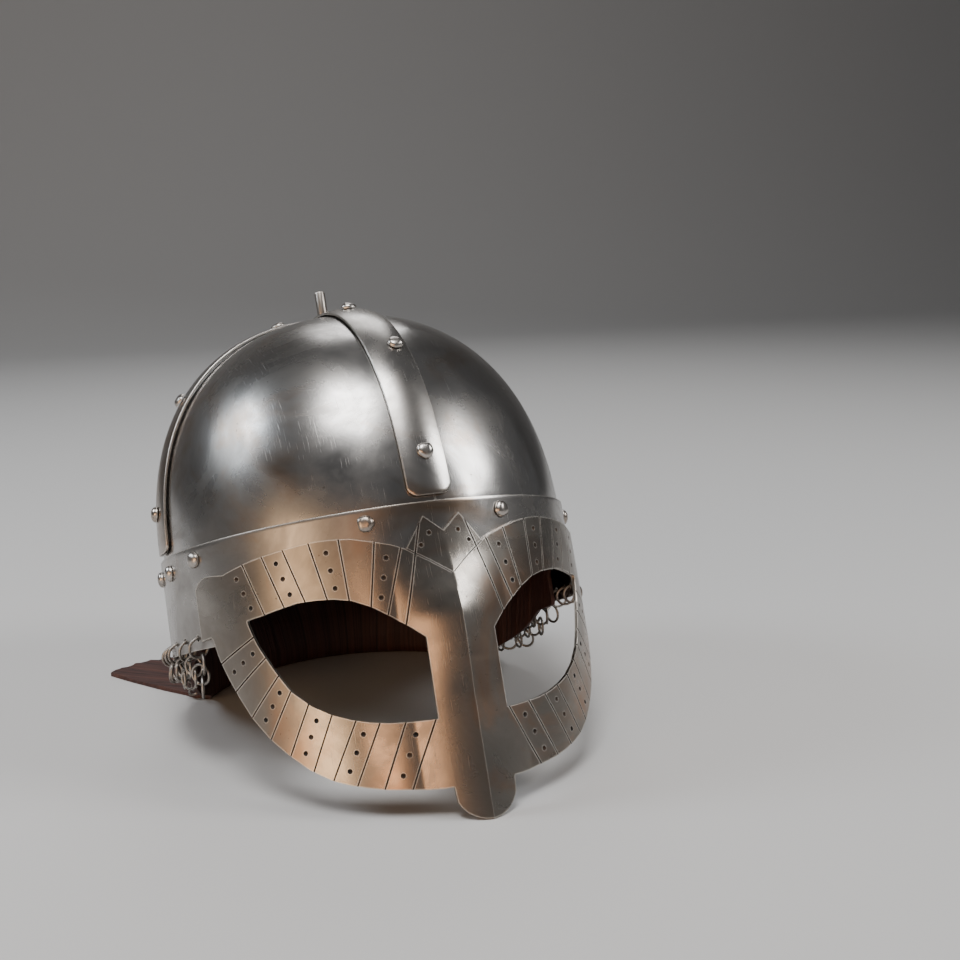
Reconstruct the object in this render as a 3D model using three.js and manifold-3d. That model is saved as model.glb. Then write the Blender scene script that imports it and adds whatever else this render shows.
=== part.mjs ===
// Riveted iron spectacle helmet with a mail fringe and a leather neck guard.
// Millimetres, +Z up, the face looks along -Y, +X is the wearer's left.
import * as THREE from 'three';
import { mergeVertices } from 'three/addons/utils/BufferGeometryUtils.js';
import Module from 'manifold-3d';

const wasm = await Module();
wasm.setup();

// Skull
const HALF_WIDTH = 102;
const HALF_LENGTH = 105;
const DOME_HEIGHT = 116;
const DOME_POWER = 2.3;
const PLAN_POWER = 1.95;
const APEX_BACK = 7;
const PLATE_WALL = 1.5;
const PLATE_TUCK = 12;
const APEX_HOLE_LIFT = 86;

// Brow band
const BAND_WALL = 1.5;
const BAND_DROP = 47.5;
const BAND_FACE_DROP = 30;
const BAND_STEP_FROM = 98;
const BAND_STEP_TO = 114;

// Strips over the skull
const LONG_STRIP_WIDTH = 21;
const LONG_STRIP_SHIFT = -2.2;
const SIDE_STRIP_WIDTH = 21;
const STRIP_EDGE = 1.1;
const STRIP_CROWN = 2.3;
const STRIP_FOOT = 2.5;
const STRIP_CORNER = 5;

// Pin at the apex
const PIN_RADIUS = 2.8;
const PIN_HEIGHT = 16.5;
const PIN_ROOT = 5;
const PIN_CHAMFER = 0.6;

// Rivets
const RIVET_RADIUS = 4;
const RIVET_HEIGHT = 2.5;

// Mask, measured around the face from its middle and down from the band's top edge
const MASK_WALL = 1.7;
const MASK_SPAN = 127.5;
const MASK_DROP = 124;
const NOSE_DROP = 139.5;
const NOSE_HALF_WIDTH = 14;
const NOSE_TIP_RADIUS = 15;
const NOSE_RIDGE = 7;
const NOSE_RIDGE_HALF_WIDTH = 26;
const TAB_NOTCH_DROP = 14.1;
const TAB_TIP_DROP = 6.7;
const TAB_TIP_OUT = 8.6;
const TAB_ROOT_OUT = 18.3;
const EYE_INNER = 16.4;
const EYE_WIDTH = 79.5;
const EYE_TOP_DROP = 35.9;
const EYE_HEIGHT = 58.8;

// Mail fringe
const RING_RADIUS = 4.8;
const RING_WIRE = 0.7;
const RING_HOLE_RADIUS = 1.5;
const RING_HOLE_UP = 5.5;
const RING_COUNT = 30;
const RING_SPREAD = 108;
const MAIL_WALL = 3;
const MAIL_LENGTH = 19;
const MAIL_SPREAD = 110;

// Leather neck guard
const LEATHER_WALL = 2;
const LEATHER_INSET = 6;
const LEATHER_TOP_DROP = 16;
const LEATHER_TOP_INSET = 0.7;
const LEATHER_BEND_DROP = 34;
const LEATHER_REACH = 67;
const LEATHER_SPREAD = 100;
const FOLD_RADIUS = 5;

// Clearances: between plates, between a strip and the plates it laps,
// and under the back of the rim as the helmet rests
const GAP = 0.3;
const LAP = 0.6;
const BACK_LIFT = 7;

const BAND_INNER = GAP;
const BAND_OUTER = BAND_INNER + BAND_WALL;
const MASK_INNER = BAND_OUTER + GAP;

// Outline of the mask: shares of MASK_SPAN around, and of MASK_DROP down
const MASK_EDGE = [
  { around: 0.1, top: 0.178, bottom: 1.0 },
  { around: 0.144, top: 0.164, bottom: 0.999 },
  { around: 0.188, top: 0.142, bottom: 0.995 },
  { around: 0.243, top: 0.124, bottom: 0.986 },
  { around: 0.327, top: 0.099, bottom: 0.972 },
  { around: 0.396, top: 0.09, bottom: 0.954 },
  { around: 0.447, top: 0.087, bottom: 0.938 },
  { around: 0.504, top: 0.089, bottom: 0.915 },
  { around: 0.58, top: 0.095, bottom: 0.869 },
  { around: 0.66, top: 0.103, bottom: 0.801 },
  { around: 0.723, top: 0.112, bottom: 0.74 },
  { around: 0.789, top: 0.125, bottom: 0.657 },
  { around: 0.839, top: 0.136, bottom: 0.573 },
  { around: 0.878, top: 0.131, bottom: 0.5 },
  { around: 0.91, top: 0.127, bottom: 0.431 },
  { around: 0.932, top: 0.126, bottom: 0.357 },
  { around: 0.951, top: 0.131, bottom: 0.336 },
  { around: 0.976, top: 0.142, bottom: 0.315 },
  { around: 1, top: 0.165, bottom: 0.293 },
];

// Outline of an eye: shares of EYE_WIDTH out from the nose, and of EYE_HEIGHT down
const EYE_EDGE = [
  { out: 0, top: 0.4, bottom: 1 },
  { out: 0.07, top: 0.31, bottom: 0.997 },
  { out: 0.16, top: 0.214, bottom: 0.988 },
  { out: 0.26, top: 0.12, bottom: 0.973 },
  { out: 0.36, top: 0.053, bottom: 0.946 },
  { out: 0.46, top: 0.019, bottom: 0.905 },
  { out: 0.56, top: 0.005, bottom: 0.85 },
  { out: 0.67, top: 0, bottom: 0.762 },
  { out: 0.78, top: 0.02, bottom: 0.632 },
  { out: 0.86, top: 0.036, bottom: 0.47 },
  { out: 0.91, top: 0.046, bottom: 0.355 },
  { out: 0.95, top: 0.051, bottom: 0.26 },
  { out: 0.98, top: 0.055, bottom: 0.165 },
  { out: 1, top: 0.058, bottom: 0.08 },
];

// Height of the nose ridge: shares of NOSE_DROP down, and of NOSE_RIDGE forward
const RIDGE = [
  { down: 0.1, forward: 0 },
  { down: 0.18, forward: 0.15 },
  { down: 0.29, forward: 0.75 },
  { down: 0.36, forward: 1 },
  { down: 0.46, forward: 1 },
  { down: 0.61, forward: 0.8 },
  { down: 1, forward: 0.75 },
];

// Rivets of the strips: degrees up each arm, and how far off the middle on the front arm
const ARM_RIVETS = [
  { front: 11, aside: 0.8, left: 11, right: 11 },
  { front: 40, aside: 4, left: 40, right: 40 },
  { front: 66.5, aside: -0.7, left: 69, right: 75 },
];

// Rivets of the band, on all four quarters: degrees from the front or back, and down
const BAND_RIVETS = [
  { turn: 18.5, drop: 6.6 },
  { turn: 69, drop: 6.2 },
  { turn: 84, drop: 8.3 },
];

// Lower edge of the leather: degrees from the back, shares of the fall to the surface
// and of LEATHER_REACH out over it
const LEATHER_EDGE = [
  { back: 0, fall: 1, reach: 0.6 },
  { back: 20, fall: 1, reach: 0.64 },
  { back: 30, fall: 1, reach: 0.76 },
  { back: 38, fall: 1, reach: 0.95 },
  { back: 45, fall: 1, reach: 1 },
  { back: 47, fall: 1, reach: 0.7 },
  { back: 51, fall: 1, reach: 0.15 },
  { back: 53, fall: 1, reach: 0 },
  { back: 56, fall: 0.85, reach: 0 },
  { back: 64, fall: 0.7, reach: 0 },
  { back: 80, fall: 0.3, reach: 0 },
  { back: 88, fall: 0.08, reach: 0 },
  { back: 100, fall: 0.05, reach: 0 },
];

// Length of the mail: degrees from the back, right positive, and shares of MAIL_LENGTH
const MAIL_EDGE = [
  { back: -110, length: 0.16 },
  { back: -90, length: 0.2 },
  { back: -82, length: 0.55 },
  { back: -74, length: 1 },
  { back: 50, length: 1 },
  { back: 62, length: 0.35 },
  { back: 90, length: 0.3 },
  { back: 98, length: 0.7 },
  { back: 110, length: 0.8 },
];

// Reads one column of a table at a place, straight between its rows
function read(table, key, value, column) {
  let i = 1;
  while (i < table.length - 1 && table[i][key] < value) {
    i += 1;
  }
  const a = table[i - 1];
  const b = table[i];
  const t = THREE.MathUtils.clamp((value - a[key]) / (b[key] - a[key]), 0, 1);
  return a[column] + (b[column] - a[column]) * t;
}

function evenly(from, to, count) {
  return Array.from({ length: count + 1 }, (_, i) => from + ((to - from) * i) / count);
}

// Skull: a shape between an ellipsoid and a box, its apex behind the middle.
// A turn is in degrees from the front towards the left; an offset lies outside the plates.
function planPoint(turn, offset) {
  const a = THREE.MathUtils.degToRad(turn);
  const s = Math.sin(a);
  const c = Math.cos(a);
  const k = (Math.abs(s) ** PLAN_POWER + Math.abs(c) ** PLAN_POWER) ** (-1 / PLAN_POWER);
  return new THREE.Vector3((HALF_WIDTH + offset) * s * k, -(HALF_LENGTH + offset) * c * k, 0);
}

function domePoint(turn, lift, offset) {
  const a = THREE.MathUtils.degToRad(lift);
  const c = Math.cos(a);
  const s = Math.sin(a);
  const k = (c ** DOME_POWER + s ** DOME_POWER) ** (-1 / DOME_POWER);
  const p = planPoint(turn, offset).multiplyScalar(c * k);
  p.y += APEX_BACK * s * k;
  p.z = (DOME_HEIGHT + offset) * s * k;
  return p;
}

// How full the upright skull is at a point: 1 on its surface
function fullness(p, offset) {
  const x = Math.abs(p.x) / (HALF_WIDTH + offset);
  const y = Math.abs(p.y) / (HALF_LENGTH + offset);
  const z = Math.abs(p.z) / (DOME_HEIGHT + offset);
  const plan = (x ** PLAN_POWER + y ** PLAN_POWER) ** (1 / PLAN_POWER);
  return (plan ** DOME_POWER + z ** DOME_POWER) ** (1 / DOME_POWER);
}

// Where a ray in a flat section of the skull meets its surface, found by halving
function sectionPoint(ray, offset) {
  let low = 0.5;
  let high = 1.2;
  for (let step = 0; step < 40; step += 1) {
    const middle = (low + high) / 2;
    if (fullness(ray(middle), offset) < 1) {
      low = middle;
    } else {
      high = middle;
    }
  }
  const p = ray(low);
  p.y += (APEX_BACK * p.z) / (DOME_HEIGHT + offset);
  return p;
}

function longStripPoint(across, lift, offset) {
  const a = THREE.MathUtils.degToRad(lift);
  const y = -(HALF_LENGTH + offset) * Math.cos(a);
  const z = (DOME_HEIGHT + offset) * Math.sin(a);
  return sectionPoint((k) => new THREE.Vector3(across, k * y, k * z), offset);
}

function sideStripPoint(side, across, lift, offset) {
  const a = THREE.MathUtils.degToRad(lift);
  const x = side * (HALF_WIDTH + offset) * Math.cos(a);
  const z = (DOME_HEIGHT + offset) * Math.sin(a);
  return sectionPoint((k) => new THREE.Vector3(k * x, across, k * z), offset);
}

// Distance around the mask's outer face for each degree of turn, and back
const WALK = [{ turn: 0, around: 0 }];
for (let turn = 1; turn <= 120; turn += 1) {
  const step = planPoint(turn, MASK_INNER + MASK_WALL).distanceTo(
    planPoint(turn - 1, MASK_INNER + MASK_WALL),
  );
  WALK.push({ turn, around: WALK[turn - 1].around + step });
}

function turnAt(around) {
  return Math.sign(around) * read(WALK, 'around', Math.abs(around), 'turn');
}

// The nose's ridge pushes the mask forward in two flat facets
function facePoint(around, z, offset) {
  const p = planPoint(turnAt(around), offset);
  const facet = Math.max(0, 1 - Math.abs(around) / NOSE_RIDGE_HALF_WIDTH);
  p.y -= NOSE_RIDGE * facet * read(RIDGE, 'down', -z / NOSE_DROP, 'forward');
  p.z = z;
  return p;
}

// Closed solids, made by bending boxes and turned rings
function bend(geometry, move) {
  const bent = geometry.clone();
  bent.deleteAttribute('normal');
  bent.deleteAttribute('uv');
  const place = bent.attributes.position;
  for (let i = 0; i < place.count; i += 1) {
    const p = move(place.getX(i), place.getY(i), place.getZ(i));
    place.setXYZ(i, p.x, p.y, p.z);
  }
  return facingOut(mergeVertices(bent, 1e-4));
}

function facingOut(geometry) {
  const place = geometry.attributes.position;
  const index = geometry.index.array;
  const corners = [new THREE.Vector3(), new THREE.Vector3(), new THREE.Vector3()];
  let volume = 0;
  for (let i = 0; i < index.length; i += 3) {
    corners.forEach((corner, j) => corner.fromBufferAttribute(place, index[i + j]));
    volume += corners[0].dot(corners[1].cross(corners[2]));
  }
  if (volume < 0) {
    for (let i = 0; i < index.length; i += 3) {
      [index[i], index[i + 1]] = [index[i + 1], index[i]];
    }
  }
  return geometry;
}

// A plate with a column edge at each station; its rows and its wall run from 0 to 1
function plate(stations, rows, move) {
  const columns = stations.length - 1;
  const box = new THREE.BoxGeometry(columns, 1, 1, columns, rows, 1);
  return bend(box, (x, y, z) => move(stations[Math.round(x + columns / 2)], y + 0.5, z + 0.5));
}

function toSolid(geometry) {
  const vertProperties = new Float32Array(geometry.attributes.position.array);
  const triVerts = new Uint32Array(geometry.index.array);
  return new wasm.Manifold(new wasm.Mesh({ numProp: 3, vertProperties, triVerts }));
}

function fromSolid(solid) {
  const mesh = solid.getMesh();
  const geometry = new THREE.BufferGeometry();
  geometry.setAttribute('position', new THREE.BufferAttribute(mesh.vertProperties, 3));
  geometry.setIndex(new THREE.BufferAttribute(mesh.triVerts, 1));
  return geometry;
}

function cut(geometry, tools) {
  const solid = tools.reduce((left, tool) => left.subtract(toSolid(tool)), toSolid(geometry));
  return fromSolid(solid);
}

function join(geometries) {
  const solids = geometries.map(toSolid);
  return fromSolid(solids.reduce((whole, solid) => whole.add(solid)));
}

// A plain shape carried to its place
function placed(geometry, matrix) {
  return bend(geometry, (x, y, z) => new THREE.Vector3(x, y, z).applyMatrix4(matrix));
}

function frameAt(origin, x, y, z) {
  return new THREE.Matrix4().makeBasis(x, y, z).setPosition(origin);
}

// Materials
const metal = (color, roughness) => new THREE.MeshStandardMaterial({ color, roughness, metalness: 1 });
const plateSteel = metal(0x9a9894, 0.34);
const stripSteel = metal(0xa3a19c, 0.36);
const maskSteel = metal(0x8f8a83, 0.38);
const rivetSteel = metal(0xa8a49c, 0.4);
const mailSteel = metal(0x3c3835, 0.45);
const leather = new THREE.MeshStandardMaterial({ color: 0x3a1711, roughness: 0.75 });

function addPiece(group, name, geometry, material) {
  const mesh = new THREE.Mesh(geometry, material);
  mesh.name = name;
  group.add(mesh);
  return mesh;
}

const skull = new THREE.Group();

// Dome plates: quarters that meet under the strips and tuck inside the band
const QUARTERS = [
  { name: 'front_left', middle: 45, x: 1, y: -1 },
  { name: 'back_left', middle: 135, x: 1, y: 1 },
  { name: 'back_right', middle: 225, x: -1, y: 1 },
  { name: 'front_right', middle: 315, x: -1, y: -1 },
];
const PLATE_ROWS = 8;
for (const quarter of QUARTERS) {
  const stations = evenly(quarter.middle - 45, quarter.middle + 45, 6);
  const geometry = plate(stations, PLATE_ROWS, (turn, v, w) => {
    const offset = (w - 1) * PLATE_WALL - GAP;
    const row = Math.round(v * PLATE_ROWS);
    if (row === 0) {
      return planPoint(turn, offset).setZ(-PLATE_TUCK);
    }
    return domePoint(turn, (APEX_HOLE_LIFT * (row - 1)) / (PLATE_ROWS - 1), offset);
  });
  const mesh = addPiece(skull, `dome_plate_${quarter.name}`, geometry, plateSteel);
  mesh.position.set((quarter.x * GAP) / 2, (quarter.y * GAP) / 2, 0);
}

// Strips: crowned across, with round corners at their feet
const STRIP_STATIONS = [-0.5, -0.4, 0, 0.4, 0.5];

function footLift(across, width) {
  const past = Math.max(0, Math.abs(across) - (width / 2 - STRIP_CORNER));
  const rise = STRIP_FOOT + STRIP_CORNER - Math.sqrt(STRIP_CORNER ** 2 - past ** 2);
  return THREE.MathUtils.radToDeg(Math.asin(rise / DOME_HEIGHT));
}

function crown(share) {
  return STRIP_EDGE + (STRIP_CROWN - STRIP_EDGE) * (1 - (2 * share) ** 2);
}

const longStrip = plate(STRIP_STATIONS, 26, (share, v, w) => {
  const across = share * LONG_STRIP_WIDTH;
  const foot = footLift(across, LONG_STRIP_WIDTH);
  const lift = foot + v * (180 - 2 * foot);
  return longStripPoint(across + LONG_STRIP_SHIFT, lift, LAP + w * crown(share));
});

const apex = longStripPoint(LONG_STRIP_SHIFT, 90, LAP + STRIP_CROWN);
const upright = new THREE.Matrix4().makeRotationX(Math.PI / 2).setPosition(apex);
const pinHole = new THREE.CylinderGeometry(PIN_RADIUS + GAP, PIN_RADIUS + GAP, 4 * PIN_ROOT, 12);
addPiece(skull, 'long_strip', cut(longStrip, [placed(pinHole, upright)]), stripSteel);

for (const [name, side] of [
  ['left', 1],
  ['right', -1],
]) {
  const stop = LONG_STRIP_WIDTH / 2 + side * LONG_STRIP_SHIFT + 2 * GAP;
  const top = THREE.MathUtils.radToDeg(Math.acos(stop / HALF_WIDTH));
  const geometry = plate(STRIP_STATIONS, 12, (share, v, w) => {
    const across = share * SIDE_STRIP_WIDTH;
    const foot = footLift(across, SIDE_STRIP_WIDTH);
    return sideStripPoint(side, across, foot + v * (top - foot), LAP + w * crown(share));
  });
  addPiece(skull, `side_strip_${name}`, geometry, stripSteel);
}

// Pin: it goes down through the long strip
const pinProfile = [
  new THREE.Vector2(0, -PIN_ROOT),
  new THREE.Vector2(PIN_RADIUS, -PIN_ROOT),
  new THREE.Vector2(PIN_RADIUS, PIN_HEIGHT - PIN_CHAMFER),
  new THREE.Vector2(PIN_RADIUS - PIN_CHAMFER, PIN_HEIGHT),
  new THREE.Vector2(0, PIN_HEIGHT),
];
addPiece(skull, 'apex_pin', placed(new THREE.LatheGeometry(pinProfile, 12), upright), rivetSteel);

// Rivets: domed heads that stand on a surface given by two small steps along it
const rivetHead = new THREE.LatheGeometry(
  [
    new THREE.Vector2(0, 0),
    new THREE.Vector2(RIVET_RADIUS, 0),
    new THREE.Vector2(RIVET_RADIUS * 0.75, RIVET_HEIGHT * 0.75),
    new THREE.Vector2(0, RIVET_HEIGHT),
  ],
  10,
);

function addRivet(name, surface) {
  const seat = surface(0, 0);
  const first = surface(1, 0).sub(seat).normalize();
  const second = surface(0, 1).sub(seat).normalize();
  const outward = first.clone().cross(second).normalize();
  if (outward.dot(seat) < 0) {
    outward.negate();
  }
  const mesh = addPiece(skull, name, placed(rivetHead, new THREE.Matrix4()), rivetSteel);
  mesh.quaternion.setFromUnitVectors(new THREE.Vector3(0, 1, 0), outward);
  mesh.position.copy(seat).addScaledVector(outward, GAP);
}

ARM_RIVETS.forEach((row, i) => {
  const top = LAP + STRIP_CROWN;
  const middle = LONG_STRIP_SHIFT;
  addRivet(`rivet_front_${i + 1}`, (a, b) => longStripPoint(middle + row.aside + a, row.front + b, top));
  addRivet(`rivet_back_${i + 1}`, (a, b) => longStripPoint(middle + a, 180 - row.front + b, top));
  addRivet(`rivet_left_${i + 1}`, (a, b) => sideStripPoint(1, a, row.left + b, top));
  addRivet(`rivet_right_${i + 1}`, (a, b) => sideStripPoint(-1, a, row.right + b, top));
});

BAND_RIVETS.forEach((row, i) => {
  for (const quarter of QUARTERS) {
    const turn = THREE.MathUtils.radToDeg(
      Math.atan2(
        quarter.x * Math.sin(THREE.MathUtils.degToRad(row.turn)),
        -quarter.y * Math.cos(THREE.MathUtils.degToRad(row.turn)),
      ),
    );
    addRivet(`rivet_band_${quarter.name}_${i + 1}`, (a, b) =>
      planPoint(turn + a, BAND_OUTER).setZ(b - row.drop),
    );
  }
});

// How the helmet rests: tipped back on the tip of its nose and the back of its rim
const noseTip = facePoint(0, -NOSE_DROP, MASK_INNER);
const backRim = planPoint(180, BAND_OUTER).setZ(-BAND_DROP);
const run = backRim.y - noseTip.y;
const rise = backRim.z - noseTip.z;
skull.rotation.x = Math.asin(BACK_LIFT / Math.hypot(run, rise)) - Math.atan2(rise, run);
skull.position.z = -noseTip.clone().applyEuler(skull.rotation).z;
skull.updateMatrix();

function onFloor(p) {
  return p.applyMatrix4(skull.matrix);
}

function floorOutward(turn) {
  const along = onFloor(planPoint(turn + 1, 0)).sub(onFloor(planPoint(turn - 1, 0)));
  return new THREE.Vector3(along.y, -along.x, 0).normalize();
}

// Mail rings: each goes through a hole of the band and hangs straight down
const ringTurns = evenly(180 - RING_SPREAD, 180 + RING_SPREAD, RING_COUNT - 1);
const ringDrop = BAND_DROP - RING_HOLE_UP;
const down = new THREE.Vector3(0, 0, -1);

function ringHole(turn) {
  return planPoint(turn, BAND_INNER + BAND_WALL / 2).setZ(-ringDrop);
}

function ringGeometry(turn) {
  const outward = floorOutward(turn);
  const centre = onFloor(ringHole(turn)).addScaledVector(down, RING_RADIUS);
  const sideways = outward.clone().cross(down);
  return placed(
    new THREE.TorusGeometry(RING_RADIUS, RING_WIRE, 5, 10),
    frameAt(centre, outward, down, sideways),
  );
}

function holeTool(turn) {
  const centre = ringHole(turn);
  const along = planPoint(turn + 1, 0).sub(planPoint(turn - 1, 0)).normalize();
  const outward = new THREE.Vector3(along.y, -along.x, 0);
  const tool = new THREE.CylinderGeometry(RING_HOLE_RADIUS, RING_HOLE_RADIUS, 4 * BAND_WALL, 6);
  return placed(tool, frameAt(centre, along, outward, along.clone().cross(outward)));
}

// Band: lower at the sides and back, cut up over the eyes
const bandSection = [
  new THREE.Vector2(1, 0),
  new THREE.Vector2(2, 0),
  new THREE.Vector2(2, 1),
  new THREE.Vector2(1, 1),
  new THREE.Vector2(1, 0),
];
const bandRing = bend(new THREE.LatheGeometry(bandSection, 64), (x, y, z) => {
  const turn = THREE.MathUtils.radToDeg(Math.atan2(x, z));
  const around = read(WALK, 'turn', Math.abs(turn), 'around');
  const step = THREE.MathUtils.smoothstep(around, BAND_STEP_FROM, BAND_STEP_TO);
  const drop = (1 - y) * (BAND_FACE_DROP + (BAND_DROP - BAND_FACE_DROP) * step);
  return planPoint(turn, BAND_INNER + (Math.hypot(x, z) - 1) * BAND_WALL).setZ(-drop);
});
addPiece(skull, 'brow_band', cut(bandRing, ringTurns.map(holeTool)), stripSteel);

// Mask: one plate bent around the face, with the eyes cut through it
function maskTop(around) {
  if (around < TAB_TIP_OUT) {
    return TAB_NOTCH_DROP + ((TAB_TIP_DROP - TAB_NOTCH_DROP) * around) / TAB_TIP_OUT;
  }
  const root = MASK_DROP * read(MASK_EDGE, 'around', TAB_ROOT_OUT / MASK_SPAN, 'top');
  if (around < TAB_ROOT_OUT) {
    const t = (around - TAB_TIP_OUT) / (TAB_ROOT_OUT - TAB_TIP_OUT);
    return TAB_TIP_DROP + (root - TAB_TIP_DROP) * t;
  }
  return MASK_DROP * read(MASK_EDGE, 'around', around / MASK_SPAN, 'top');
}

function maskBottom(around) {
  if (around < NOSE_HALF_WIDTH) {
    return NOSE_DROP - NOSE_TIP_RADIUS + Math.sqrt(NOSE_TIP_RADIUS ** 2 - around ** 2);
  }
  return MASK_DROP * read(MASK_EDGE, 'around', around / MASK_SPAN, 'bottom');
}

const maskStations = [
  0,
  TAB_TIP_OUT / 2,
  TAB_TIP_OUT,
  NOSE_HALF_WIDTH - GAP,
  NOSE_HALF_WIDTH + GAP,
  TAB_ROOT_OUT,
  ...MASK_EDGE.map((row) => row.around * MASK_SPAN).filter((around) => around > TAB_ROOT_OUT + 1),
];
const bothSides = [...maskStations.slice(1).map((around) => -around).reverse(), ...maskStations];
const maskPlate = plate(bothSides, 5, (around, v, w) => {
  const out = Math.abs(around);
  const drop = maskBottom(out) + v * (maskTop(out) - maskBottom(out));
  return facePoint(around, -drop, MASK_INNER + w * MASK_WALL);
});

function eyeTool(side) {
  const stations = EYE_EDGE.map((row) => row.out);
  return plate(stations, 1, (out, v, w) => {
    const top = read(EYE_EDGE, 'out', out, 'top');
    const bottom = read(EYE_EDGE, 'out', out, 'bottom');
    const drop = EYE_TOP_DROP + EYE_HEIGHT * (bottom + v * (top - bottom));
    const offset = MASK_INNER + (3 * w - 1) * MASK_WALL;
    return facePoint(side * (EYE_INNER + out * EYE_WIDTH), -drop, offset);
  });
}

addPiece(skull, 'mask', cut(maskPlate, [eyeTool(1), eyeTool(-1)]), maskSteel);

// Soft pieces hang straight down, fold outwards on the surface and lie on it
function hang(start, outward, distance, bed) {
  const fall = start.z - bed;
  const radius = THREE.MathUtils.clamp(fall, GAP, FOLD_RADIUS);
  const straight = fall - radius;
  const bent = (distance - straight) / radius;
  if (bent < 0) {
    return { p: start.clone().addScaledVector(down, distance), normal: outward.clone() };
  }
  const turned = Math.min(bent, Math.PI / 2);
  const past = Math.max(0, bent - Math.PI / 2) * radius;
  const p = start.clone().addScaledVector(outward, radius * (1 - Math.cos(turned)) + past);
  p.z = bed + radius * (1 - Math.sin(turned));
  const normal = outward.clone().multiplyScalar(Math.cos(turned));
  return { p, normal: normal.addScaledVector(down, -Math.sin(turned)) };
}

// Mail: the rings of the rim, joined to the thick net that hangs from them
const mailStations = evenly(180 - MAIL_SPREAD, 180 + MAIL_SPREAD, 24);
const mailNet = plate(mailStations, 3, (turn, v, w) => {
  const start = onFloor(ringHole(turn)).addScaledVector(down, 2 * RING_RADIUS - RING_WIRE);
  const length = MAIL_LENGTH * read(MAIL_EDGE, 'back', turn - 180, 'length');
  const bed = LEATHER_WALL + GAP + MAIL_WALL / 2;
  const { p, normal } = hang(start, floorOutward(turn), (1 - v) * length, bed);
  return p.addScaledVector(normal, (w - 0.5) * MAIL_WALL);
});

// Leather: inside the rim, then down to the surface and out over it
const LEATHER_ROWS = 9;
const leatherStations = LEATHER_EDGE.map((row) => row.back).filter((back) => back > 0);
const leatherTurns = [...leatherStations.map((back) => -back).reverse(), 0, ...leatherStations];

function leatherPoint(turn, row, w) {
  const through = (w - 0.5) * LEATHER_WALL;
  const inset = -LEATHER_INSET - LEATHER_WALL / 2;
  if (row === 0) {
    const offset = -LEATHER_TOP_INSET - LEATHER_WALL / 2 + through;
    return onFloor(planPoint(turn, offset).setZ(-LEATHER_TOP_DROP));
  }
  if (row === 1) {
    return onFloor(planPoint(turn, inset + through).setZ(-LEATHER_BEND_DROP));
  }
  const start = onFloor(planPoint(turn, inset).setZ(-BAND_DROP));
  const back = Math.abs(turn - 180);
  const bed = LEATHER_WALL / 2;
  const fall = (start.z - bed) * read(LEATHER_EDGE, 'back', back, 'fall');
  const reach = LEATHER_REACH * read(LEATHER_EDGE, 'back', back, 'reach');
  const share = (row - 2) / (LEATHER_ROWS - 2);
  const onSurface = read(LEATHER_EDGE, 'back', back, 'fall') === 1;
  let distance = share * fall;
  if (onSurface) {
    const straight = start.z - bed - FOLD_RADIUS;
    const fold = (FOLD_RADIUS * Math.PI) / 2;
    const lie = BAND_OUTER - inset - FOLD_RADIUS + reach;
    const marks = [0, straight / 2, straight, straight + fold / 2, straight + fold];
    const step = row - 2;
    distance = step < marks.length ? marks[step] : straight + fold + ((step - 4) / 3) * lie;
  }
  const { p, normal } = hang(start, floorOutward(turn), distance, bed);
  return p.addScaledVector(normal, through);
}

const neckLeather = plate(
  leatherTurns.map((back) => 180 + back),
  LEATHER_ROWS,
  (turn, v, w) => leatherPoint(turn, Math.round((1 - v) * LEATHER_ROWS), w),
);

const helmet = new THREE.Group();
helmet.add(skull);
addPiece(helmet, 'mail_curtain', join([mailNet, ...ringTurns.map(ringGeometry)]), mailSteel);
addPiece(helmet, 'neck_leather', neckLeather, leather);

// The origin lies under the middle of the whole, on the surface
const box = new THREE.Box3().setFromObject(helmet, true);
const centre = box.getCenter(new THREE.Vector3());
helmet.position.set(-centre.x, -centre.y, -box.min.z);

export default helmet;
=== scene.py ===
# %% [markdown]
# A riveted iron spectacle helmet with a fringe of mail and a leather neck guard.
# The solids give the exact places. Here each of them gets a finer mesh and a worn finish.
# Sizes are in millimetres until a mesh is made, where they become metres.

# %% Start
import math

import bmesh
import bpy
import numpy as np
from mathutils import Matrix, Vector


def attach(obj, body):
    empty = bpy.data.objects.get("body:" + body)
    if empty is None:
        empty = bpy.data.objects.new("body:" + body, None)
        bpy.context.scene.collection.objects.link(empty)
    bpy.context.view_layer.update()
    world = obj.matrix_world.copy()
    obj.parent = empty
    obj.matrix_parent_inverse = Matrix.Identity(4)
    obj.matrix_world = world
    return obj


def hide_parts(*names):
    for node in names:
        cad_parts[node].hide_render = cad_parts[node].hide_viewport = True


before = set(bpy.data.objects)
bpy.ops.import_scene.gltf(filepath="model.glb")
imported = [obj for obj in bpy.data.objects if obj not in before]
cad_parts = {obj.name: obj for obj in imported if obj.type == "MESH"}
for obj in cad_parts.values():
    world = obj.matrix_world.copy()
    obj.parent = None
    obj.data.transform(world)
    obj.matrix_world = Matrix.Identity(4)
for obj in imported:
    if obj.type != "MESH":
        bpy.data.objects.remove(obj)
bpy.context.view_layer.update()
MM = 0.001

# %% [markdown]
# The camera stands to the wearer's right, a little above the helmet. Its place, its three angles
# and its lens were fitted to the outline of the skull, the eye openings and the strips.

# %% Camera
CAMERA_AT = (-212.36, -596.80, 245.36)
CAMERA_AZIMUTH, CAMERA_ELEVATION, CAMERA_ROLL = -24.444, 11.062, -0.788
LENS = 47.82

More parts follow.
